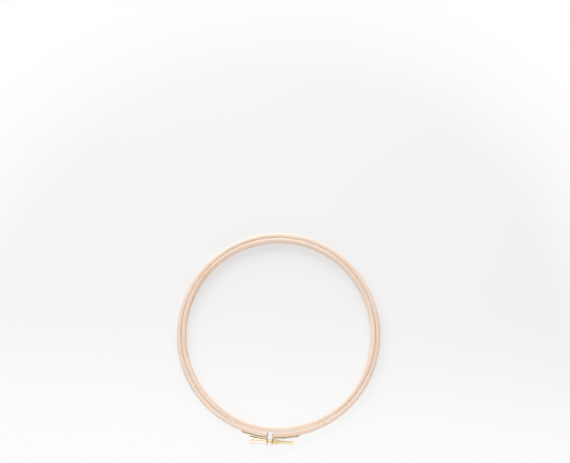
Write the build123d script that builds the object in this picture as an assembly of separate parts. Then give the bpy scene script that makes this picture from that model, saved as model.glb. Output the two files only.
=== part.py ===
from build123d import *
import math
import os

# A wooden embroidery hoop: a closed inner ring inside a split outer ring, which a brass screw and
# a square nut draw together through two bent ears.
# The origin is the centre of the opening at mid-height. Z is the rings' axis, and the gap and its
# screw are on the -Y side, with the screw's head towards -X.

# Rings
outer_diameter = 185.0
outer_wall = 4.2
inner_wall = 4.0
ring_clearance = 0.2
ring_height = 8.0
edge_round = 1.4
# Gap in the outer ring
wood_gap = 3.5
gap_corner_round = 1.5
# Bent brass brackets, whose strip length is counted along the ring from the middle of the gap
strip_thickness = 0.9
strip_width = 6.0
strip_length = 26.0
strip_end_round = 1.2
bend_round = 0.8
ear_reach = 6.2
ear_end_round = 2.6
# Screw
thread_diameter = 3.0
screw_length = 39.2
head_length = 15.4
head_end_diameter = 6.4
head_rim_length = 3.0
head_rim_round = 0.6
head_neck_diameter = 4.0
head_hollow = 0.3
head_collar_diameter = 4.2
head_collar_length = 0.9
slot_width = 0.9
slot_depth = 1.7
tail_chamfer = 0.5
# Square nut
nut_across = 4.4
nut_length = 4.4
nut_chamfer = 0.4
# Nails: the near one's place is counted from the middle of the gap, the far one's from the strip's end
nail_diameter = 1.2
nail_length = 4.2
nail_point_length = 1.0
nail_head_diameter = 2.6
nail_head_height = 0.4
near_nail_place = 12.5
far_nail_inset = 2.6
# Clearances
ear_hole_clearance = 0.3
seat_gap = 0.05
thread_clearance = 0.05
nut_side_clearance = 0.4

# Sizes that follow from those above
outer_radius = outer_diameter / 2
outer_bore_radius = outer_radius - outer_wall
inner_radius = outer_bore_radius - ring_clearance
strip_radius = outer_radius + strip_thickness
gap_side = wood_gap / 2
ear_outside = gap_side + strip_thickness
ear_tip = strip_radius + ear_reach
thread_radius = thread_diameter / 2
screw_distance = strip_radius + nut_side_clearance + nut_across / 2
seat = ear_outside + seat_gap


def plan_point(radius, angle):
    """A point of the plan, at an angle in radians from -Y towards +X."""
    return (radius * math.sin(angle), -radius * math.cos(angle))


def arc_about(centre, radius, first, last):
    """An arc of the plan about a centre, between two angles in radians from +X."""
    angles = (first, (first + last) / 2, last)
    return ThreePointArc(
        *((centre[0] + radius * math.cos(a), centre[1] + radius * math.sin(a)) for a in angles)
    )


def along_screw(shape):
    """Moves a shape made about the X axis to the screw's axis."""
    return Pos(0, -screw_distance, 0) * shape


def closed_ring(radius, wall):
    section = Pos(radius - wall / 2, 0) * RectangleRounded(wall, ring_height, edge_round)
    return revolve(Plane.XZ * section, Axis.Z)


def right_wood():
    """The outer ring's +X half, from the seam on the far side to the gap."""
    seam = math.pi
    middle = math.pi / 2
    gap_outside = math.asin(gap_side / outer_radius)
    gap_inside = math.asin(gap_side / outer_bore_radius)
    outline = [
        ThreePointArc(*(plan_point(outer_radius, a) for a in (gap_outside, middle, seam))),
        Line(plan_point(outer_radius, seam), plan_point(outer_bore_radius, seam)),
        ThreePointArc(*(plan_point(outer_bore_radius, a) for a in (seam, middle, gap_inside))),
        Line(plan_point(outer_bore_radius, gap_inside), plan_point(outer_radius, gap_outside)),
    ]
    plan = make_face(outline)
    plan = fillet(plan.vertices().sort_by(Axis.Y)[:2], gap_corner_round)
    wood = extrude(Pos(0, 0, -ring_height / 2) * plan, ring_height)
    rims = wood.faces().sort_by(Axis.Z)[0].edges() + wood.faces().sort_by(Axis.Z)[-1].edges()
    return fillet(rims.sort_by(Axis.X)[2:], edge_round)


def right_bracket():
    """A strip that lies along the ring's outside and bends out into an ear with the screw's hole."""
    bend_x = ear_outside + bend_round
    bend_angle = math.asin(bend_x / (strip_radius + bend_round))
    bend_centre = plan_point(strip_radius + bend_round, bend_angle)
    bend_outside = bend_round + strip_thickness
    inwards = math.pi / 2 + bend_angle
    end_angle = strip_length / outer_radius
    along = (bend_angle, (bend_angle + end_angle) / 2, end_angle)
    outline = [
        ThreePointArc(*(plan_point(outer_radius, a) for a in along)),
        Line(plan_point(outer_radius, end_angle), plan_point(strip_radius, end_angle)),
        ThreePointArc(*(plan_point(strip_radius, a) for a in along)),
        arc_about(bend_centre, bend_round, inwards, math.pi),
        Line((ear_outside, bend_centre[1]), (ear_outside, -ear_tip)),
        Line((ear_outside, -ear_tip), (gap_side, -ear_tip)),
        Line((gap_side, -ear_tip), (gap_side, bend_centre[1])),
        arc_about(bend_centre, bend_outside, inwards, math.pi),
    ]
    bracket = extrude(Pos(0, 0, -strip_width / 2) * make_face(outline), strip_width)
    ear_corners = bracket.edges().filter_by(Axis.X).sort_by(Axis.Y)[:2]
    bracket = fillet(ear_corners, ear_end_round)
    end_face = bracket.faces().filter_by(GeomType.PLANE).sort_by(Axis.X)[-1]
    end_corners = end_face.edges().sort_by(Axis.Z)
    bracket = fillet([end_corners[0], end_corners[-1]], strip_end_round)
    hole = Cylinder(thread_radius + ear_hole_clearance, wood_gap + 2 * strip_thickness)
    return bracket - along_screw(Rot(0, 90, 0) * Pos(0, 0, ear_outside) * hole)


def nail(place):
    """A pointed nail with a domed head, driven through the bracket towards the ring's centre."""
    shank = nail_diameter / 2
    head = nail_head_diameter / 2
    dome = (head**2 + nail_head_height**2) / (2 * nail_head_height)
    dome_centre = (0, nail_head_height - dome)
    dome_edge = math.atan2(dome - nail_head_height, head)
    outline = [
        Polyline(
            (0, nail_head_height),
            (0, -nail_length),
            (shank, nail_point_length - nail_length),
            (shank, 0),
            (head, 0),
        ),
        arc_about(dome_centre, dome, dome_edge, math.pi / 2),
    ]
    body = revolve(Plane.XZ * make_face(outline), Axis.Z)
    angle = place / outer_radius
    return Plane(plan_point(strip_radius, angle), (0, 0, 1), plan_point(1, angle)) * body


def clamp_screw():
    head_end = seat + head_length
    neck_end = seat + head_collar_length
    tail = screw_length - head_end
    end_radius = head_end_diameter / 2
    neck_radius = head_neck_diameter / 2
    collar_radius = head_collar_diameter / 2
    rim = head_end - head_rim_length
    flare_middle = ((rim + neck_end) / 2, (end_radius + neck_radius) / 2 - head_hollow)
    corner = head_rim_round * (1 - math.sqrt(1 / 2))
    outline = [
        Line((-head_end, 0), (-head_end, end_radius - head_rim_round)),
        ThreePointArc(
            (-head_end, end_radius - head_rim_round),
            (corner - head_end, end_radius - corner),
            (head_rim_round - head_end, end_radius),
        ),
        Line((head_rim_round - head_end, end_radius), (-rim, end_radius)),
        ThreePointArc((-rim, end_radius), (-flare_middle[0], flare_middle[1]), (-neck_end, neck_radius)),
        Polyline(
            (-neck_end, neck_radius),
            (-neck_end, collar_radius),
            (-seat, collar_radius),
            (-seat, thread_radius),
            (tail - tail_chamfer, thread_radius),
            (tail, thread_radius - tail_chamfer),
            (tail, 0),
            (-head_end, 0),
        ),
    ]
    screw = revolve(make_face(outline), Axis.X)
    slot = Box(2 * slot_depth, slot_width, 2 * head_end_diameter)
    return along_screw(screw - Pos(-head_end, 0, 0) * slot)


def square_nut():
    block = Box(nut_length, nut_across, nut_across)
    ends = block.edges().filter_by(Axis.X, reverse=True)
    block = chamfer(ends, nut_chamfer)
    bore = Rot(0, 90, 0) * Cylinder(thread_radius + thread_clearance, 2 * nut_length)
    return along_screw(Pos(seat + nut_length / 2, 0, 0) * (block - bore))


def hoop():
    """Every node by its name. The -X side is the mirror of the +X side."""
    nails = {"near": nail(near_nail_place), "far": nail(strip_length - far_nail_inset)}
    wood = right_wood()
    bracket = right_bracket()
    for each in nails.values():
        wood -= each
        bracket -= each
    nodes = {"inner_ring": closed_ring(inner_radius, inner_wall)}
    nodes["outer_ring_right_half"] = wood
    nodes["outer_ring_left_half"] = mirror(wood, Plane.YZ)
    nodes["nut_bracket"] = bracket
    nodes["screw_bracket"] = mirror(bracket, Plane.YZ)
    for place, each in nails.items():
        nodes[f"nut_bracket_{place}_nail"] = each
        nodes[f"screw_bracket_{place}_nail"] = mirror(each, Plane.YZ)
    nodes["clamp_screw"] = clamp_screw()
    nodes["square_nut"] = square_nut()
    return nodes


os.makedirs("parts", exist_ok=True)
for name, shape in hoop().items():
    export_step(shape, f"parts/{name}.step")
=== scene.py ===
"""A wooden embroidery hoop, dressed around its packed frame.

The hoop lies flat on a pale floor. Lengths are in metres and in the frame's own axes: Z is the rings'
axis, the gap and its screw are on the -Y side, and the screw's head points to -X. Patterns are in
millimetres.
"""

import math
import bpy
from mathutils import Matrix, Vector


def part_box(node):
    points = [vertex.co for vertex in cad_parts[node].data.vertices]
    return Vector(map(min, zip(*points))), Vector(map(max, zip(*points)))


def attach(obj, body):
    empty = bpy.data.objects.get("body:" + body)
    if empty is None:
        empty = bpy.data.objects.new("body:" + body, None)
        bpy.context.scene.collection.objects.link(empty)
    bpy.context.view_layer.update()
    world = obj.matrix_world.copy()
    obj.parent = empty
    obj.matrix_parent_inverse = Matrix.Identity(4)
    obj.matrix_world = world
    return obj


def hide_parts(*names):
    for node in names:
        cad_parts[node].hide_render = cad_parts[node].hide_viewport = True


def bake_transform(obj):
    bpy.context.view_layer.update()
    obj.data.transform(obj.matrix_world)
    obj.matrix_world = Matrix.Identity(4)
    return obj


bl_info = {
    "name": "Embroidery hoop",
    "version": (1, 0, 0),
    "blender": (4, 5, 0),
    "location": "3D View > Sidebar > Hoop",
    "description": "Two beech rings, brass brackets with nails, a slotted screw and its square nut",
    "category": "Add Mesh",
}

import bmesh
import bpy
from bpy.props import FloatProperty, FloatVectorProperty, IntProperty, PointerProperty
from mathutils import Matrix, Vector

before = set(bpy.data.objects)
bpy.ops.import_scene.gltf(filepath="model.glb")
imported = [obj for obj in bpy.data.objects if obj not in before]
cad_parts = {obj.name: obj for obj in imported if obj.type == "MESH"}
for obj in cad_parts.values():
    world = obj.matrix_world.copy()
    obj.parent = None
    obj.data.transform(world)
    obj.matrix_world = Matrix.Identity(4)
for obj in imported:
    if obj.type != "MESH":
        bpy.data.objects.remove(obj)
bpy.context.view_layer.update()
MM = 0.001
TIGHT = 0.001 * MM

RING_LOW, RING_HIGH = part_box("inner_ring")
HALF_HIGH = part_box("outer_ring_right_half")[1]
BRACKET_LOW, BRACKET_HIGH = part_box("nut_bracket")
SCREW_LOW, SCREW_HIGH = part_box("clamp_screw")
NUT_LOW, NUT_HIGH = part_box("square_nut")
HOOP_AXIS = {"center": (0, 0, 0), "axis": (0, 0, 1)}


def linear(code):
    """The linear colour, with full opacity, of an sRGB hex code such as EED3BD."""
    parts = (int(code[i : i + 2], 16) / 255 for i in (0, 2, 4))
    return (*(p / 12.92 if p <= 0.04045 else ((p + 0.055) / 1.055) ** 2.4 for p in parts), 1.0)


def length(name, about, default):
    return FloatProperty(name=name, description=about, default=default, unit="LENGTH", precision=5)


def colour(name, about, code):
    return FloatVectorProperty(
        name=name, description=about, default=linear(code), size=4, min=0, max=1, subtype="COLOR"
    )


class HoopRings(bpy.types.PropertyGroup):
    """Sizes of the two wooden rings."""

    outer_radius: length("Outer radius", "Outside of the outer ring", HALF_HIGH.x)
    outer_wall: length("Outer wall", "Thickness of the outer ring", 4.2 * MM)
    inner_radius: length("Inner radius", "Outside of the inner ring", RING_HIGH.x)
    inner_wall: length("Inner wall", "Thickness of the inner ring", 4.0 * MM)
    height: length("Height", "Height of both rings", RING_HIGH.z - RING_LOW.z)
    edge_round: length("Edge rounding", "Radius of the sanded edges", 1.8 * MM)
    groove_round: length("Groove rounding", "Radius of the shoulders between the rings", 2.4 * MM)
    groove_cut: length("Groove cut", "How much of those shoulders is cut away", 0.8 * MM)
    play: length("Play", "Space between the rings", 0.06 * MM)
    gap: length("Gap", "Opening between the outer ring's ends", 3.5 * MM)
    end_round: length("End rounding", "Radius of the outer ring's ends, seen from above", 1.5 * MM)
    waviness: length("Waviness", "How far bending and sanding left the wood out of true", 0.03 * MM)
    steps: IntProperty(name="Steps", description="Sections round a whole ring", default=288, min=32)


class HoopBrackets(bpy.types.PropertyGroup):
    """Sizes of the brass brackets and their nails."""

    thickness: length("Thickness", "Thickness of the strip", 0.9 * MM)
    width: length("Width", "Width of the strip", BRACKET_HIGH.z - BRACKET_LOW.z)
    reach: length("Length", "Length along the ring, from the middle of the gap", 26 * MM)
    end_round: length("End rounding", "Radius of the corners at the strip's end", 1.2 * MM)
    bend_round: length("Bend", "Inside radius of the bend", 0.8 * MM)
    ear_place: length("Ear place", "Gap side of the ear", BRACKET_LOW.x)
    ear_tip: length("Ear tip", "Distance of the ear's tip from the hoop's centre", -BRACKET_LOW.y)
    ear_round: length("Ear rounding", "Radius of the corners of the ear's tip", 2.6 * MM)
    hole: length("Hole", "Diameter of the screw's hole", 3.6 * MM)
    edge_round: length("Edge rounding", "Radius of the strip's worn edges", 0.12 * MM)
    nail_diameter: length("Nail", "Diameter of the nails", 1.2 * MM)
    nail_length: length("Nail length", "Length of the nails under the head", 4.2 * MM)
    nail_point: length("Nail point", "Length of the nails' points", 1.0 * MM)
    nail_head: length("Nail head", "Diameter of the nails' heads", 2.6 * MM)
    nail_dome: length("Nail dome", "Height of the nails' heads", 0.4 * MM)
    near_nail: length("Near nail", "Place of the nail next to the gap", 12.5 * MM)
    far_nail: length("Far nail", "Place of the nail near the strip's end", 23.4 * MM)


class HoopScrew(bpy.types.PropertyGroup):
    """Sizes of the clamp screw and its nut."""

    distance: length(
        "Distance", "From the hoop's centre to the screw's axis", -(SCREW_LOW.y + SCREW_HIGH.y) / 2
    )
    seat: length("Seat", "Where the head rests on its ear, from the middle of the gap", 2.7 * MM)
    head_end: length("Head end", "Place of the head's end", -SCREW_LOW.x)
    tail: length("Tail", "Place of the tail's end", SCREW_HIGH.x)
    end_diameter: length("End diameter", "Wide end of the head", SCREW_HIGH.z - SCREW_LOW.z)
    rim: length("Rim", "Length of the head's wide end", 3.0 * MM)
    neck_diameter: length("Neck", "Narrow end of the head", 4.0 * MM)
    collar_diameter: length("Collar", "Diameter of the collar against the ear", 4.2 * MM)
    collar: length("Collar length", "Length of the collar", 0.9 * MM)
    slot_width: length("Slot", "Width of the driver's slot", 0.9 * MM)
    slot_depth: length("Slot depth", "Depth of the driver's slot", 1.7 * MM)
    thread: length("Thread", "Outside diameter of the thread", 3.0 * MM)
    pitch: length("Pitch", "Distance between the turns of the thread", 0.5 * MM)
    nut_edge: length("Nut edge", "Radius of the nut's tumbled edges", 0.35 * MM)
    nut_play: length("Nut play", "Space between the nut's thread and the screw's", 0.05 * MM)
    thread_steps: IntProperty(name="Thread steps", description="Sections in a turn", default=28, min=8)


class HoopColours(bpy.types.PropertyGroup):
    """Colours of the finishes."""

    beech_light: colour("Beech, early wood", "Palest streaks of the wood", "F9E7D8")
    beech: colour("Beech", "Main tone of the wood", "F4DCCA")
    beech_dark: colour("Beech, late wood", "Darker lines of the year rings", "E1BC9C")
    beech_ray: colour("Beech, rays", "The small brown flecks", "BF8E6B")
    glue: colour("Glue line", "The dried glue of the inner ring's joint", "A87A56")
    strip_brass: colour("Strip brass", "Rolled brass of the brackets", "DCC191")
    strip_tarnish: colour("Strip tarnish", "Dulled brass of the brackets", "9A7F54")
    turned_brass: colour("Turned brass", "Bright brass of the screw", "EDE0C6")
    turned_tarnish: colour("Turned tarnish", "Where the bright brass has been handled", "DFC99E")
    nut_brass: colour("Nut brass", "Satin brass of the nut", "E4CFA4")
    floor: colour("Floor", "White card under the hoop", "E9E9EA")


def leave_edit_mode():
    """Back to object mode, with nothing selected."""
    if bpy.context.mode != "OBJECT":
        bpy.ops.object.mode_set(mode="OBJECT")
    bpy.ops.object.select_all(action="DESELECT")


def activate(piece):
    """Leaves edit mode and selects one piece alone."""
    leave_edit_mode()
    piece.select_set(True)
    bpy.context.view_layer.objects.active = piece


def begin(name, add, **place):
    """Adds a primitive with nothing else selected, and opens it with all of it selected."""
    leave_edit_mode()
    add(**place)
    piece = bpy.context.object
    piece.name = piece.data.name = name
    bpy.ops.object.transform_apply(location=True, rotation=True, scale=True)
    bpy.ops.object.mode_set(mode="EDIT")
    bpy.ops.mesh.select_mode(type="VERT")
    bpy.ops.mesh.select_all(action="SELECT")
    return piece


def pick(piece, test, kind="VERT"):
    """Selects the vertices, or the faces, whose middle passes the test, and nothing else."""
    bpy.ops.mesh.select_mode(type=kind)
    bpy.ops.mesh.select_all(action="DESELECT")
    mesh = bmesh.from_edit_mesh(piece.data)
    for part in mesh.verts if kind == "VERT" else mesh.faces:
        if test(part.co if kind == "VERT" else part.calc_center_median()):
            part.select_set(True)
    mesh.select_flush_mode()
    bmesh.update_edit_mesh(piece.data)


def selected_middle(piece):
    places = [v.co for v in bmesh.from_edit_mesh(piece.data).verts if v.select]
    return sum(places, Vector()) / len(places)


def close_up():
    """Merges what meets in the mesh that is open, and turns all its faces outwards."""
    bpy.ops.mesh.select_mode(type="VERT")
    bpy.ops.mesh.select_all(action="SELECT")
    bpy.ops.mesh.remove_doubles(threshold=TIGHT)
    bpy.ops.mesh.normals_make_consistent(inside=False)


def smooth(piece, angle):
    """Shades a piece smooth, but for the edges sharper than an angle in degrees."""
    activate(piece)
    bpy.ops.object.shade_smooth_by_angle(angle=math.radians(angle))


def modify(piece, kind, **settings):
    """Adds a modifier and applies it."""
    activate(piece)
    modifier = piece.modifiers.new(kind.title(), kind)
    for setting, value in settings.items():
        setattr(modifier, setting, value)
    bpy.ops.object.modifier_apply(modifier=modifier.name)


def combine(piece, other, operation):
    """Cuts another piece out, keeps what both share or joins them, and removes the other piece."""
    modify(piece, "BOOLEAN", object=other, operation=operation, solver="EXACT")
    bpy.data.objects.remove(other)


def copied(piece, name):
    """A copy of a finished piece, with a mesh of its own."""
    activate(piece)
    bpy.ops.object.duplicate()
    copy = bpy.context.object
    copy.name = copy.data.name = name
    return copy


def outline(name, points):
    """A line through points, drawn by pulling one vertex along. It is left in edit mode."""
    piece = begin(name, bpy.ops.mesh.primitive_plane_add, size=MM, location=points[0])
    bpy.ops.mesh.merge(type="CENTER")
    bpy.ops.mesh.select_all(action="SELECT")
    for here, there in zip(points, points[1:]):
        bpy.ops.mesh.extrude_region_move(TRANSFORM_OT_translate={"value": there - here})
    return piece


def lathe(name, points, centre, axis, steps):
    """A closed turned form. The line's two ends stand on the axis."""
    piece = outline(name, points)
    bpy.ops.mesh.select_all(action="SELECT")
    bpy.ops.mesh.spin(steps=steps, angle=math.tau, center=centre, axis=axis)
    close_up()
    return piece


def arc(centre, radius, first, last, steps):
    """Points of an arc, as pairs, between two angles in degrees."""
    turns = (math.radians(first + (last - first) * i / steps) for i in range(steps + 1))
    return [(centre[0] + radius * math.cos(t), centre[1] + radius * math.sin(t)) for t in turns]


def round_off(piece, along, rounding, sides, steps):
    """Pulls the selected face on along a direction while its sides round off.

    sides is the face's size in X, Y and Z, with 0 for a direction that keeps its size."""
    gone, before = 0, [1, 1, 1]
    for i in range(1, steps + 1):
        turn = math.pi / 2 * i / steps
        reach, inset = rounding * math.sin(turn), rounding * (1 - math.cos(turn))
        bpy.ops.mesh.extrude_region_move(TRANSFORM_OT_translate={"value": along * (reach - gone)})
        now = [1 - 2 * inset / side if side else 1 for side in sides]
        share = [n / b for n, b in zip(now, before)]
        bpy.ops.transform.resize(value=share, center_override=selected_middle(piece))
        gone, before = reach, now


def grain_map(piece, seam):
    """Stores where each corner lies in the straight strip, before it was bent, in millimetres.

    X runs along the strip, Y is the distance from the hoop's axis and Z the height. The seam is the
    angle at which X jumps."""
    mesh = piece.data
    grain = mesh.attributes.new("grain", "FLOAT_VECTOR", "CORNER")
    values = []
    for face in mesh.polygons:
        middle = math.atan2(face.center.y, face.center.x) - seam
        for corner in face.loop_indices:
            place = mesh.vertices[mesh.loops[corner].vertex_index].co
            offset = math.remainder(math.atan2(place.y, place.x) - seam - middle, math.tau)
            turn = middle % math.tau + offset
            radius = math.hypot(place.x, place.y)
            values += [turn * HALF_HIGH.x / MM, radius / MM, place.z / MM]
    grain.data.foreach_set("vector", values)


def waves(piece, amount, shift):
    """Moves the vertices by slow smooth waves round the ring, as bending and sanding leave them."""
    for vertex in piece.data.vertices:
        turn = math.atan2(vertex.co.y, vertex.co.x)
        across = sum(math.sin(n * turn + shift * n) / n for n in (3, 7, 13, 22)) * amount
        up = sum(math.sin(n * turn + shift * n * n) / n for n in (4, 9, 17, 29)) * amount
        outwards = Vector((math.cos(turn), math.sin(turn), 0))
        vertex.co += outwards * across + Vector((0, 0, -abs(up) * math.copysign(1, vertex.co.z)))


def add_node(tree, kind, settings=None, links=None):
    """Adds a node, gives it settings by option or input name, and links sources to its inputs.

    A source that is a node stands for its first output in use."""
    new = tree.nodes.new("ShaderNode" + kind)

    def entry(key):
        if isinstance(key, int):
            return new.inputs[key]
        return next((each for each in new.inputs if each.enabled and each.name == key), None)

    for key, value in (settings or {}).items():
        if key == "stops":
            ramp = new.color_ramp.elements
            while len(ramp) < len(value):
                ramp.new(0.5)
            for stop, (place, shade) in zip(ramp, value):
                stop.position, stop.color = place, shade
        elif entry(key):
            entry(key).default_value = value
        else:
            setattr(new, key, value)
    for key, source in (links or {}).items():
        if isinstance(source, bpy.types.Node):
            source = next(each for each in source.outputs if each.enabled)
        tree.links.new(source, entry(key))
    return new


def new_material(name):
    """An empty material and its node tree."""
    material = bpy.data.materials.new(name)
    material.use_nodes = True
    material.node_tree.nodes.clear()
    return material, material.node_tree


def steamed_beech(name, colours, slope, edge, shift):
    """Steam-bent European beech, sanded and left bare: pale, pinkish, with a faint silky sheen on its
    rounded edges, fine lines along the strip and short brown ray flecks.

    slope is how far the slanted glue joint runs along the strip for each unit of its thickness, or 0
    for a strip cut square. edge holds the two distances from the strip's ends, in millimetres, between
    which the dark end grain or glue fades away, and its colour. shift moves the pattern along, so that
    the two rings aren't alike."""
    material, tree = new_material(name)
    round_trip = math.tau * HALF_HIGH.x / MM
    strip = add_node(tree, "Attribute", {"attribute_name": "grain"}).outputs["Vector"]
    along, across, height = add_node(tree, "SeparateXYZ", links={"Vector": strip}).outputs
    slant = add_node(
        tree,
        "Math",
        {"operation": "MULTIPLY_ADD", 1: slope, 2: -slope * RING_HIGH.x / MM},
        {0: across},
    )
    skewed = add_node(tree, "Math", {"operation": "ADD"}, {0: along, 1: slant})
    wrapped = add_node(tree, "Math", {"operation": "WRAP", 1: 0.0, 2: round_trip}, {0: skewed})
    straight = add_node(tree, "Math", {"operation": "SUBTRACT"}, {0: wrapped, 1: slant})
    wood = add_node(tree, "CombineXYZ", links={"X": straight, "Y": across, "Z": height})
    moved = add_node(tree, "VectorMath", {"operation": "ADD", 1: (shift, shift, 0)}, {0: wood})

    def pattern(kind, settings, stretch):
        scaled = add_node(tree, "VectorMath", {"operation": "MULTIPLY", 1: stretch}, {0: moved})
        return add_node(tree, kind, {"Scale": 1.0, **settings}, {"Vector": scaled})

    def ramp(value, first, last, low, high):
        spans = {"From Min": first, "From Max": last, "To Min": low, "To Max": high}
        return add_node(tree, "MapRange", spans, {"Value": value})

    def tint(share, under, over):
        return add_node(tree, "Mix", {"data_type": "RGBA", "B": over}, {"Factor": share, "A": under})

    # Slow changes of tone, some 60 mm along the strip and 3 mm across it.
    tone = pattern("TexNoise", {"Detail": 3.0}, (0.016, 0.32, 0.2))
    # Year rings run lengthwise about 1.3 mm apart, and wander.
    bands = {"bands_direction": "Y", "Distortion": 3.0, "Detail": 2.0, "Detail Scale": 1.2}
    rings = pattern("TexWave", {**bands, "Scale": 0.24}, (0.02, 1.0, 0.55))
    # Fibres, drawn 0.4 mm wide because real ones of 0.1 mm are too fine to show.
    fibres = pattern("TexNoise", {"Detail": 4.0, "Roughness": 0.6}, (0.09, 2.4, 2.4))
    # Ray flecks: brown dashes about 1.5 mm long and 0.3 mm wide.
    flecks = pattern("TexVoronoi", {"Randomness": 1.0}, (0.3, 1.7, 1.3))

    stops = [(0.3, colours.beech_light), (0.55, colours.beech), (0.8, colours.beech_dark)]
    paint = add_node(tree, "ValToRGB", {"stops": stops}, {"Fac": tone})
    paint = tint(ramp(rings, 0.5, 1.0, 0.0, 0.5), paint, colours.beech_dark)
    paint = tint(ramp(fibres, 0.5, 0.8, 0.0, 0.55), paint, colours.beech_dark)
    fleck = ramp(flecks.outputs["Distance"], 0.1, 0.26, 0.6, 0.0)
    paint = tint(fleck, paint, colours.beech_ray)
    from_end = add_node(tree, "Math", {"operation": "PINGPONG", 1: round_trip / 2}, {0: wrapped})
    paint = tint(ramp(from_end, edge[0], edge[1], 0.75, 0.0), paint, edge[2])

    relief = add_node(tree, "Math", {"operation": "MULTIPLY_ADD", 1: -0.5}, {0: fleck, 2: fibres})
    bump = add_node(tree, "Bump", {"Strength": 0.25, "Distance": 0.05 * MM}, {"Height": relief})
    surface = add_node(
        tree,
        "BsdfPrincipled",
        {"Specular IOR Level": 0.6},
        {"Base Color": paint, "Roughness": ramp(fibres, 0.3, 0.7, 0.38, 0.5), "Normal": bump},
    )
    add_node(tree, "OutputMaterial", links={"Surface": surface})
    return material


def brass(name, bright, dull, roughness, marks, mark_depth, centre):
    """Uncoated brass. marks is how many tool marks a millimetre holds along X, Y and Z: marks along
    one axis only are the rings that a lathe leaves, and marks across a strip are those of rolling."""
    material, tree = new_material(name)
    place = add_node(tree, "TexCoord").outputs["Object"]
    to_middle = {"Location": [-c / MM for c in centre], "Scale": [1 / MM] * 3}
    millimetres = add_node(tree, "Mapping", to_middle, {"Vector": place})
    marked = add_node(tree, "VectorMath", {"operation": "MULTIPLY", 1: marks}, {0: millimetres})
    grain = {"Scale": 1.0, "Detail": 3.0, "Roughness": 0.6}
    tooling = add_node(tree, "TexNoise", grain, {"Vector": marked})
    # Tarnish spreads in soft patches 2 to 4 mm wide.
    spread = {"Scale": 0.35, "Detail": 5.0, "Roughness": 0.55}
    patches = add_node(tree, "TexNoise", spread, {"Vector": millimetres})
    mixed = add_node(
        tree, "Math", {"operation": "MULTIPLY_ADD", 1: 0.35}, {0: tooling, 2: patches}
    )
    dulled = {"From Min": 0.5, "From Max": 0.95, "To Min": 0.0, "To Max": 0.7}
    share = add_node(tree, "MapRange", dulled, {"Value": mixed})
    toned = add_node(tree, "Mix", {"data_type": "RGBA", "A": bright, "B": dull}, {"Factor": share})
    worn = {"From Min": 0.3, "From Max": 0.9, "To Min": roughness[0], "To Max": roughness[1]}
    rough = add_node(tree, "MapRange", worn, {"Value": mixed})
    bump = add_node(tree, "Bump", {"Strength": 0.2, "Distance": mark_depth}, {"Height": tooling})
    surface = add_node(
        tree,
        "BsdfPrincipled",
        {"Metallic": 1.0},
        {"Base Color": toned, "Roughness": rough, "Normal": bump},
    )
    add_node(tree, "OutputMaterial", links={"Surface": surface})
    return material


def sees_white(tree):
    """1 for the camera's own rays and for reflections, which see a white studio, and 0 for light."""
    seen = add_node(tree, "LightPath").outputs
    seen_or_gloss = add_node(
        tree, "Math", {"operation": "MAXIMUM"}, {0: seen["Is Camera Ray"], 1: seen["Is Glossy Ray"]}
    )
    return add_node(
        tree, "Math", {"operation": "MAXIMUM"}, {0: seen_or_gloss, 1: seen["Is Transmission Ray"]}
    )


def white_card(floor_colour):
    """Matt white card. It glows where it is seen, more so towards the hoop's screw, which is painted
    light that pales the hoop's shadow on that side, and wholly so away from the hoop, so that it ends in
    white but keeps the hoop's soft shadow."""
    material, tree = new_material("White card")
    place = add_node(tree, "TexCoord").outputs["Object"]
    distance = add_node(tree, "VectorMath", {"operation": "LENGTH"}, {0: place}).outputs["Value"]
    forward = add_node(tree, "SeparateXYZ", links={"Vector": place}).outputs["Y"]
    soft = {"interpolation_type": "SMOOTHSTEP"}
    away = add_node(
        tree,
        "MapRange",
        {**soft, "From Min": 0.11, "From Max": 0.4, "To Min": 0.0, "To Max": 1.0},
        {"Value": distance},
    )
    # Painted light: the card glows more towards the screw's side, from half to nearly all white, which
    # pales the hoop's shadow and the gap there.
    near = add_node(
        tree,
        "MapRange",
        {**soft, "From Min": -0.11, "From Max": 0.04, "To Min": 0.88, "To Max": 0.5},
        {"Value": forward},
    )
    backdrop_and_painted_light = add_node(tree, "Math", {"operation": "MAXIMUM"}, {0: away, 1: near})
    share = add_node(tree, "Math", {"operation": "MULTIPLY"}, {0: backdrop_and_painted_light, 1: sees_white(tree)})
    card = add_node(
        tree,
        "BsdfPrincipled",
        {"Base Color": floor_colour, "Roughness": 0.9, "Specular IOR Level": 0.1},
    )
    glow = add_node(tree, "Emission", {"Color": (1, 1, 1, 1), "Strength": 1.0})
    mixed = add_node(tree, "MixShader", None, {0: share, 1: card, 2: glow})
    add_node(tree, "OutputMaterial", links={"Surface": mixed})
    return material


def white_room(level):
    """Even light of a level from all round, which the camera and reflections see as white, but for a
    dark place overhead, where the camera and its stand are."""
    world = bpy.data.worlds.new("White room")
    world.use_nodes = True
    tree = world.node_tree
    tree.nodes.clear()
    ways = add_node(tree, "TexCoord").outputs["Generated"]
    up = add_node(tree, "SeparateXYZ", links={"Vector": ways}).outputs["Z"]
    # The dark place fades in between 20 and 9 degrees from straight up.
    patch = {"From Min": 0.94, "From Max": 0.988, "To Min": 1.0, "To Max": 0.06}
    overhead = add_node(tree, "MapRange", patch, {"Value": up})
    raised = add_node(
        tree, "Math", {"operation": "MULTIPLY_ADD", 1: 1 - level, 2: level}, {0: sees_white(tree)}
    )
    strength = add_node(tree, "Math", {"operation": "MULTIPLY"}, {0: raised, 1: overhead})
    background = add_node(tree, "Background", {"Color": (1, 1, 1, 1)}, {"Strength": strength})
    add_node(tree, "OutputWorld", None, {"Surface": background})
    return world


def area_lamp(scene, name, place, size, power):
    """A rectangular lamp that faces the hoop."""
    light = bpy.data.lights.new(name, "AREA")
    light.shape, light.energy = "RECTANGLE", power
    light.size, light.size_y = size
    lamp = bpy.data.objects.new(name, light)
    scene.collection.objects.link(lamp)
    lamp.location = place
    lamp.rotation_euler = (-lamp.location).to_track_quat("-Z", "Y").to_euler()


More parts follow.
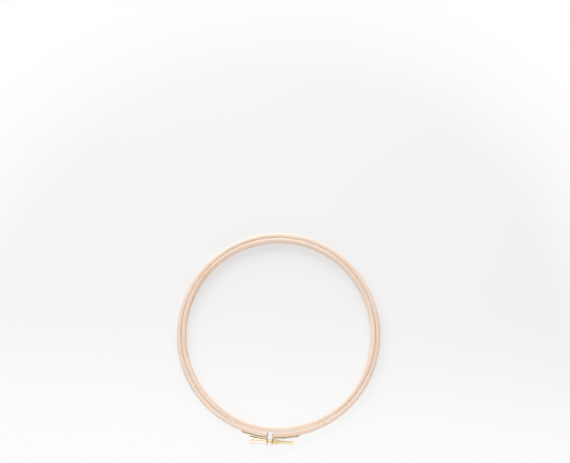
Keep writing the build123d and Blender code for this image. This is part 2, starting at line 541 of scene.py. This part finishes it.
def ring_section(name, outer, inner, groove, rings):
    """The rounded outline of a ring's wall, standing on the +X side.

    At the radius of the groove between the rings it starts wider, gets larger roundings and is cut
    back, so that the two rings' shoulders meet in a shallow groove."""
    beyond = math.copysign(rings.groove_cut, 2 * groove - outer - inner)
    width = outer - inner + abs(beyond)
    middle = ((outer + inner + beyond) / 2, 0, 0)
    piece = begin(
        name, bpy.ops.mesh.primitive_plane_add, size=1, location=middle, rotation=(math.pi / 2, 0, 0)
    )
    bpy.ops.transform.resize(value=(width, 1, rings.height), center_override=middle)
    sides = (
        (groove + beyond, rings.groove_round),
        (outer + inner - groove, rings.edge_round),
    )
    for place, rounding in sides:
        pick(piece, lambda co: abs(co.x - place) < TIGHT)
        bpy.ops.mesh.bevel(affect="VERTICES", offset=rounding, segments=7)
    bpy.ops.mesh.select_all(action="SELECT")
    bpy.ops.mesh.bisect(
        plane_co=(groove, 0, 0), plane_no=(beyond, 0, 0), clear_outer=True, threshold=TIGHT / 10
    )
    bpy.ops.mesh.select_all(action="SELECT")
    bpy.ops.mesh.delete(type="ONLY_FACE")
    bpy.ops.mesh.select_all(action="SELECT")
    return piece


class HOOP_OT_inner_ring(bpy.types.Operator):
    """Adds the closed inner ring, whose glued ends meet in a long slant"""

    bl_idname = "hoop.inner_ring"
    bl_label = "Inner ring"

    def execute(self, context):
        rings, colours = context.scene.hoop_rings, context.scene.hoop_colours
        outer = rings.outer_radius - rings.outer_wall - rings.play
        inner = rings.inner_radius - rings.inner_wall
        piece = ring_section("inner_ring_wood", outer, inner, outer, rings)
        bpy.ops.mesh.spin(steps=rings.steps, angle=math.tau, **HOOP_AXIS)
        close_up()
        smooth(piece, 40)
        waves(piece, rings.waviness, 1.7)
        joint_place = math.radians(183)
        grain_map(piece, joint_place)
        # The glued joint slants over 26 mm of the 4 mm wall.
        joint_slope = 26 / 4
        glue = (0.35, 1.1, colours.glue)
        piece.data.materials.append(
            steamed_beech("Steamed beech, inner ring", colours, joint_slope, glue, 0.0)
        )
        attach(piece, "inner_ring")
        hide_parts("inner_ring")
        return {"FINISHED"}


class HOOP_OT_outer_ring(bpy.types.Operator):
    """Adds the outer ring in one piece, open at the gap"""

    bl_idname = "hoop.outer_ring"
    bl_label = "Outer ring"

    def execute(self, context):
        rings, colours = context.scene.hoop_rings, context.scene.hoop_colours
        inner = rings.outer_radius - rings.outer_wall
        piece = ring_section("outer_ring_wood", rings.outer_radius, inner, inner, rings)
        # The section is spun from the +X side to where one rounded end starts, and then the other way
        # round the hoop to where the other one starts.
        full = rings.gap / 2 + rings.end_round
        middle = rings.outer_radius - rings.outer_wall / 2
        quarter = math.pi / 2 - math.asin(full / middle)
        bpy.ops.mesh.spin(steps=rings.steps // 4, angle=quarter, **HOOP_AXIS)
        pick(piece, lambda co: abs(co.y) < TIGHT and co.x > 0)
        bpy.ops.mesh.spin(steps=rings.steps * 3 // 4, angle=-quarter - math.pi, **HOOP_AXIS)
        end_zone = full + 0.2 * MM
        for side in (1, -1):
            pick(piece, lambda co: co.y < 0 and 0 < side * co.x < end_zone)
            bpy.ops.mesh.edge_face_add()
            round_off(
                piece, Vector((-side, 0, 0)), rings.end_round, (0, rings.outer_wall, rings.height), 6
            )
        close_up()
        smooth(piece, 40)
        waves(piece, rings.waviness, 0.6)
        grain_map(piece, -math.pi / 2)
        end = rings.gap / 2 / MM
        end_grain = (end, end + 1.6, colours.beech_ray)
        piece.data.materials.append(
            steamed_beech("Steamed beech, outer ring", colours, 0.0, end_grain, 40.0)
        )
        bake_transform(piece)
        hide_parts("outer_ring_left_half", "outer_ring_right_half")
        return {"FINISHED"}


def mirrored(piece, name):
    """A copy of a finished piece on the other side of the gap."""
    copy = copied(piece, name)
    bpy.ops.object.mode_set(mode="EDIT")
    bpy.ops.mesh.select_all(action="SELECT")
    bpy.ops.transform.resize(value=(-1, 1, 1), center_override=(0, 0, 0))
    bpy.ops.mesh.normals_make_consistent(inside=False)
    bpy.ops.object.mode_set(mode="OBJECT")
    return copy


class HOOP_OT_brackets(bpy.types.Operator):
    """Adds the two brass brackets, bent from strip, with the screw's hole in their ears"""

    bl_idname = "hoop.brackets"
    bl_label = "Brackets"

    def execute(self, context):
        rings, brackets, screw = (
            context.scene.hoop_rings,
            context.scene.hoop_brackets,
            context.scene.hoop_screw,
        )
        colours = context.scene.hoop_colours
        thickness, width = brackets.thickness, brackets.width
        bend_x = brackets.ear_place + thickness + brackets.bend_round
        bend_radius = rings.outer_radius + thickness + brackets.bend_round
        bend_turn = math.asin(bend_x / bend_radius)
        bend = Vector((bend_x, -bend_radius * math.cos(bend_turn), 0))
        ear = Vector((brackets.ear_place + thickness / 2, bend.y, 0))
        piece = begin(
            "nut_bracket_strip",
            bpy.ops.mesh.primitive_plane_add,
            size=1,
            location=ear,
            rotation=(math.pi / 2, 0, 0),
        )
        bpy.ops.transform.resize(value=(thickness, 1, width), center_override=ear)
        straight = brackets.ear_tip + bend.y - brackets.ear_round
        down = Vector((0, -1, 0))
        bpy.ops.mesh.extrude_region_move(TRANSFORM_OT_translate={"value": down * straight})
        round_off(piece, down, brackets.ear_round, (0, 0, width), 9)
        pick(piece, lambda co: abs(co.y - bend.y) < TIGHT, "FACE")
        bpy.ops.mesh.spin(steps=9, angle=math.pi / 2 - bend_turn, center=bend, axis=(0, 0, 1))
        end_turn = (brackets.reach - brackets.end_round) / rings.outer_radius
        bpy.ops.mesh.spin(steps=18, angle=bend_turn - end_turn, **HOOP_AXIS)
        along = Vector((math.cos(end_turn), math.sin(end_turn), 0))
        round_off(piece, along, brackets.end_round, (0, 0, width), 5)
        close_up()
        hole = begin(
            "hole",
            bpy.ops.mesh.primitive_cylinder_add,
            vertices=40,
            radius=brackets.hole / 2,
            depth=4 * thickness,
            location=(ear.x, -screw.distance, 0),
            rotation=(0, math.pi / 2, 0),
        )
        combine(piece, hole, "DIFFERENCE")
        nail_play = 0.02 * MM
        for place in (brackets.near_nail, brackets.far_nail):
            turn = place / rings.outer_radius
            outwards = Vector((math.sin(turn), -math.cos(turn), 0))
            hole = begin(
                "hole",
                bpy.ops.mesh.primitive_cylinder_add,
                vertices=24,
                radius=brackets.nail_diameter / 2 + nail_play,
                depth=4 * thickness,
                location=outwards * rings.outer_radius,
                rotation=(math.pi / 2, 0, turn),
            )
            combine(piece, hole, "DIFFERENCE")
        modify(
            piece,
            "BEVEL",
            width=brackets.edge_round,
            segments=3,
            limit_method="ANGLE",
            angle_limit=math.radians(50),
            harden_normals=False,
        )
        smooth(piece, 35)
        piece.data.materials.append(
            brass(
                "Rolled strip brass",
                colours.strip_brass,
                colours.strip_tarnish,
                roughness=(0.3, 0.46),
                marks=(0.25, 2.0, 5.0),
                mark_depth=0.02 * MM,
                centre=ear,
            )
        )
        other = mirrored(piece, "screw_bracket_strip")
        for strip, node, body in (
            (piece, "nut_bracket", "right_half"),
            (other, "screw_bracket", "left_half"),
        ):
            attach(strip, body)
            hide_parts(node)
        return {"FINISHED"}


class HOOP_OT_nails(bpy.types.Operator):
    """Adds the four pointed nails with hammered domes that hold the brackets"""

    bl_idname = "hoop.nails"
    bl_label = "Nails"

    def execute(self, context):
        rings, brackets = context.scene.hoop_rings, context.scene.hoop_brackets
        colours = context.scene.hoop_colours
        head, dome = brackets.nail_head / 2, brackets.nail_dome
        shank, point = brackets.nail_diameter / 2, brackets.nail_point
        radius = (head * head + dome * dome) / (2 * dome)
        rise = math.degrees(math.atan2(radius - dome, head))
        line = [
            (0, -brackets.nail_length),
            (shank, point - brackets.nail_length),
            (shank, 0),
            (head, 0),
        ]
        line += arc((0, dome - radius), radius, rise, 90, 7)[1:]
        nail = lathe("nail", [Vector((x, 0, z)) for x, z in line], (0, 0, 0), (0, 0, 1), 28)
        # The hammer leaves a few small flats on the dome. Each has its lean away from the nail's axis
        # and its turn about it, in radians, and how deep it cuts into the dome, in millimetres.
        flats = ((0.0, 0.0, 0.035), (0.3, 0.6, 0.03), (0.34, 2.9, 0.04), (0.42, 4.6, 0.03))
        for lean, turn, cut in flats:
            facing = Vector(
                (math.sin(lean) * math.cos(turn), math.sin(lean) * math.sin(turn), math.cos(lean))
            )
            touch = Vector((0, 0, dome - radius)) + facing * (radius - cut * MM)
            bpy.ops.mesh.select_all(action="SELECT")
            bpy.ops.mesh.bisect(
                plane_co=touch, plane_no=facing, use_fill=True, clear_outer=True, threshold=TIGHT / 10
            )
        close_up()
        smooth(nail, 30)
        nail.data.materials.append(
            brass(
                "Drawn nail brass",
                colours.strip_brass,
                colours.strip_tarnish,
                roughness=(0.22, 0.4),
                marks=(1.5, 1.5, 1.5),
                mark_depth=0.03 * MM,
                centre=(0, 0, 0),
            )
        )
        surface = rings.outer_radius + brackets.thickness
        sides = ((1, "nut_bracket", "right_half"), (-1, "screw_bracket", "left_half"))
        # Each nail is turned by its own angle in radians, so that no two show the same flats.
        places = (("near", brackets.near_nail, 0.4), ("far", brackets.far_nail, 2.3))
        for sign, bracket, body in sides:
            for place, distance, twist in places:
                turn = sign * distance / rings.outer_radius
                copy = copied(nail, f"{bracket}_{place}_nail_brass")
                outwards = Vector((math.sin(turn), -math.cos(turn), 0))
                copy.matrix_world = (
                    Matrix.Translation(outwards * surface)
                    @ outwards.to_track_quat("Z", "Y").to_matrix().to_4x4()
                    @ Matrix.Rotation(twist * sign, 4, "Z")
                )
                bpy.ops.object.transform_apply(location=True, rotation=True, scale=True)
                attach(copy, body)
                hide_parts(f"{bracket}_{place}_nail")
        bpy.data.objects.remove(nail)
        return {"FINISHED"}


def threaded_rod(name, screw, first, last, allowance):
    """A closed rod along X with a right-hand thread, longer at both ends than asked.

    Its turns lie on one helix, wherever it starts, so that the screw's fit the nut's."""
    # A metric thread is 0.61 of its pitch deep.
    core = screw.thread / 2 - 0.61 * screw.pitch + allowance
    crest = screw.thread / 2 + allowance
    start = math.ceil(last / screw.pitch + 1) * screw.pitch
    turns = math.ceil((start - first) / screw.pitch) + 1
    # One turn's profile: shares of the pitch, and the radius there.
    profile = ((0, core), (0.2, core), (0.45, crest), (0.6, crest), (0.85, core), (1, core))
    line = [Vector((start + share * screw.pitch, -screw.distance, r)) for share, r in profile]
    rod = outline(name, line)
    bpy.ops.mesh.select_all(action="SELECT")
    # The operator always winds towards -X here, and about -X that is a right-hand thread.
    bpy.ops.mesh.screw(
        steps=screw.thread_steps, turns=turns, center=(0, -screw.distance, 0), axis=(-1, 0, 0)
    )
    close_up()
    bpy.ops.mesh.fill_holes(sides=0)
    bpy.ops.mesh.normals_make_consistent(inside=False)
    return rod


class HOOP_OT_screw(bpy.types.Operator):
    """Adds the turned clamp screw, with its slotted head and its thread"""

    bl_idname = "hoop.screw"
    bl_label = "Clamp screw"

    def execute(self, context):
        screw, colours = context.scene.hoop_screw, context.scene.hoop_colours
        end, neck, collar = (
            screw.end_diameter / 2,
            screw.neck_diameter / 2,
            screw.collar_diameter / 2,
        )
        rim_end = screw.head_end - screw.rim
        neck_end = screw.seat + screw.collar
        # The head's end is dished inside a rounded lip. Behind its rim the head narrows in a hollow
        # curve, which starts a step lower than the rim, down to the collar.
        lip, dish = 0.55 * MM, 0.25 * MM
        rim_round, step = 0.35 * MM, 0.25 * MM
        collar_back, collar_front = 0.3 * MM, 0.25 * MM
        taper = rim_end - neck_end
        line = [(-screw.head_end + dish, 0), (-screw.head_end + dish, end - 1.6 * lip)]
        line += arc((-screw.head_end + lip, end - lip), lip, 170, 90, 6)
        line += arc((-rim_end, end - rim_round), rim_round, 90, 35, 4)
        line += [
            (-rim_end + taper * share, neck + (end - neck - step) * (1 - share) ** 1.5)
            for share in (0.09, 0.16, 0.25, 0.36, 0.48, 0.62, 0.78, 0.93)
        ]
        line += arc((-neck_end + collar_back, collar - collar_back), collar_back, 150, 90, 3)
        line += arc((-screw.seat - collar_front, collar - collar_front), collar_front, 90, 0, 3)
        line += [(-screw.seat, 0)]
        axis = (0, -screw.distance, 0)
        head = lathe(
            "clamp_screw_brass",
            [Vector((x, -screw.distance, r)) for x, r in line],
            axis,
            (1, 0, 0),
            64,
        )
        slot = begin(
            "slot",
            bpy.ops.mesh.primitive_cube_add,
            size=1,
            location=(-screw.head_end, -screw.distance, 0),
        )
        bpy.ops.transform.resize(
            value=(2 * screw.slot_depth, screw.slot_width, 2 * screw.end_diameter),
            center_override=(-screw.head_end, -screw.distance, 0),
        )
        combine(head, slot, "DIFFERENCE")
        modify(
            head,
            "BEVEL",
            width=0.07 * MM,
            segments=2,
            limit_method="ANGLE",
            angle_limit=math.radians(55),
        )
        # The shank reaches a little way into the head. It has a relief without a thread next to the
        # head, and its tail is bevelled twice.
        radius, relief = screw.thread / 2, 0.16 * MM
        root = -screw.seat - 0.2 * MM
        relief_end, thread_start = -screw.seat + 1.0 * MM, -screw.seat + 1.3 * MM
        shape = [
            (root, 0),
            (root, radius - relief),
            (relief_end, radius - relief),
            (thread_start, radius + relief),
            (screw.tail - 0.8 * MM, radius + relief),
            (screw.tail - 0.12 * MM, radius - 0.55 * MM),
            (screw.tail, radius - 0.75 * MM),
            (screw.tail, 0),
        ]
        envelope = lathe(
            "envelope", [Vector((x, -screw.distance, r)) for x, r in shape], axis, (1, 0, 0), 48
        )
        rod = threaded_rod("rod", screw, -screw.seat - 0.4 * MM, screw.tail + 0.2 * MM, 0)
        combine(rod, envelope, "INTERSECT")
        combine(head, rod, "UNION")
        smooth(head, 32)
        head.data.materials.append(
            brass(
                "Turned brass, screw",
                colours.turned_brass,
                colours.turned_tarnish,
                roughness=(0.3, 0.43),
                marks=(4.0, 0.12, 0.12),
                mark_depth=0.012 * MM,
                centre=axis,
            )
        )
        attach(head, "clamp_screw")
        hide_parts("clamp_screw")
        return {"FINISHED"}


class HOOP_OT_nut(bpy.types.Operator):
    """Adds the square nut, with turned faces and a threaded bore"""

    bl_idname = "hoop.nut"
    bl_label = "Square nut"

    def execute(self, context):
        screw, colours = context.scene.hoop_screw, context.scene.hoop_colours
        middle = (NUT_LOW + NUT_HIGH) / 2
        size = NUT_HIGH - NUT_LOW
        nut = begin("square_nut_brass", bpy.ops.mesh.primitive_cube_add, size=1, location=middle)
        bpy.ops.transform.resize(value=size, center_override=middle)
        modify(nut, "BEVEL", width=screw.nut_edge, segments=4, limit_method="NONE")
        # What is left of the bar after turning: chamfered corners, and a countersink at each end. The
        # shape goes a little beyond the ends and the corners.
        end = size.x / 2
        corner = size.y / 2 * math.sqrt(2)
        thread = screw.thread / 2
        beyond, chamfer, chamfer_width = 0.1 * MM, 0.55 * MM, 0.9 * MM
        sink, sink_bottom, sink_rim = 0.7 * MM, thread - 0.3 * MM, thread + 0.5 * MM
        half_shape = (
            (end - sink, 0),
            (end - sink, sink_bottom),
            (end + beyond, sink_rim),
            (end + beyond, corner - chamfer_width),
            (end - chamfer, corner + beyond),
        )
        shape = [(-x, r) for x, r in half_shape] + list(reversed(half_shape))
        line = [Vector((middle.x + x, middle.y, r)) for x, r in shape]
        turned = lathe("turned", line, middle, (1, 0, 0), 96)
        combine(nut, turned, "INTERSECT")
        run_out = 0.3 * MM
        bore = threaded_rod("bore", screw, NUT_LOW.x - run_out, NUT_HIGH.x + run_out, screw.nut_play)
        combine(nut, bore, "DIFFERENCE")
        smooth(nut, 32)
        nut.data.materials.append(
            brass(
                "Turned brass, nut",
                colours.nut_brass,
                colours.turned_tarnish,
                roughness=(0.42, 0.55),
                marks=(0.4, 3.0, 0.4),
                mark_depth=0.012 * MM,
                centre=middle,
            )
        )
        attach(nut, "square_nut")
        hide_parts("square_nut")
        return {"FINISHED"}


class HOOP_OT_stage(bpy.types.Operator):
    """Adds the white floor, the soft studio light and the camera above the hoop"""

    bl_idname = "hoop.stage"
    bl_label = "Studio"

    def execute(self, context):
        scene = context.scene
        floor = begin(
            "floor",
            bpy.ops.mesh.primitive_grid_add,
            x_subdivisions=4,
            y_subdivisions=4,
            size=8,
            location=(0, 0, RING_LOW.z),
        )
        bpy.ops.object.mode_set(mode="OBJECT")
        floor.data.materials.append(white_card(scene.hoop_colours.floor))
        scene.world = white_room(level=0.38)
        area_lamp(scene, "key", place=(-0.38, 1.26, 0.68), size=(2.0, 1.4), power=28)
        area_lamp(scene, "fill", place=(0.05, -0.6, 0.4), size=(1.2, 0.6), power=3)

        lens = bpy.data.cameras.new("camera")
        lens.lens, lens.sensor_width = 50, 36
        camera = bpy.data.objects.new("camera", lens)
        scene.collection.objects.link(camera)
        scene.camera = camera
        # The camera hangs 0.72 m above the hoop, near its screw, and looks down and a little towards the
        # far side. The hoop lies turned a few degrees in the picture.
        picture_up = Vector((-0.0785, 0.9969, 0)).normalized()
        pitch = math.radians(13.8)
        down = Vector((0, 0, -1))
        ahead = down * math.cos(pitch) + picture_up * math.sin(pitch)
        upwards = picture_up * math.cos(pitch) - down * math.sin(pitch)
        turned = Matrix((ahead.cross(upwards), upwards, -ahead)).transposed().to_4x4()
        place = Vector((0.0124, -0.0818, RING_HIGH.z + 0.719))
        camera.matrix_world = Matrix.Translation(place) @ turned
        scene.view_settings.view_transform = "Standard"
        return {"FINISHED"}


class HOOP_PT_panel(bpy.types.Panel):
    """Lists the hoop's pieces and the sizes and colours they are made with"""

    bl_label = "Embroidery hoop"
    bl_idname = "HOOP_PT_panel"
    bl_space_type = "VIEW_3D"
    bl_region_type = "UI"
    bl_category = "Hoop"

    def draw(self, context):
        for attribute, group in GROUPS.items():
            box = self.layout.box()
            box.label(text=group.__doc__)
            for setting in group.__annotations__:
                box.prop(getattr(context.scene, attribute), setting)
        for operator in OPERATORS:
            self.layout.operator(operator.bl_idname)


GROUPS = {
    "hoop_rings": HoopRings,
    "hoop_brackets": HoopBrackets,
    "hoop_screw": HoopScrew,
    "hoop_colours": HoopColours,
}
OPERATORS = (
    HOOP_OT_inner_ring,
    HOOP_OT_outer_ring,
    HOOP_OT_brackets,
    HOOP_OT_nails,
    HOOP_OT_screw,
    HOOP_OT_nut,
    HOOP_OT_stage,
)
CLASSES = (*GROUPS.values(), *OPERATORS, HOOP_PT_panel)


def register():
    for each in CLASSES:
        bpy.utils.register_class(each)
    for attribute, group in GROUPS.items():
        setattr(bpy.types.Scene, attribute, PointerProperty(type=group))


def unregister():
    for attribute in GROUPS:
        delattr(bpy.types.Scene, attribute)
    for each in reversed(CLASSES):
        bpy.utils.unregister_class(each)


def main():
    register()
    bpy.ops.hoop.inner_ring()
    bpy.ops.hoop.outer_ring()
    bpy.ops.hoop.brackets()
    bpy.ops.hoop.nails()
    bpy.ops.hoop.screw()
    bpy.ops.hoop.nut()
    bpy.ops.hoop.stage()


if __name__ == "__main__":
    main()
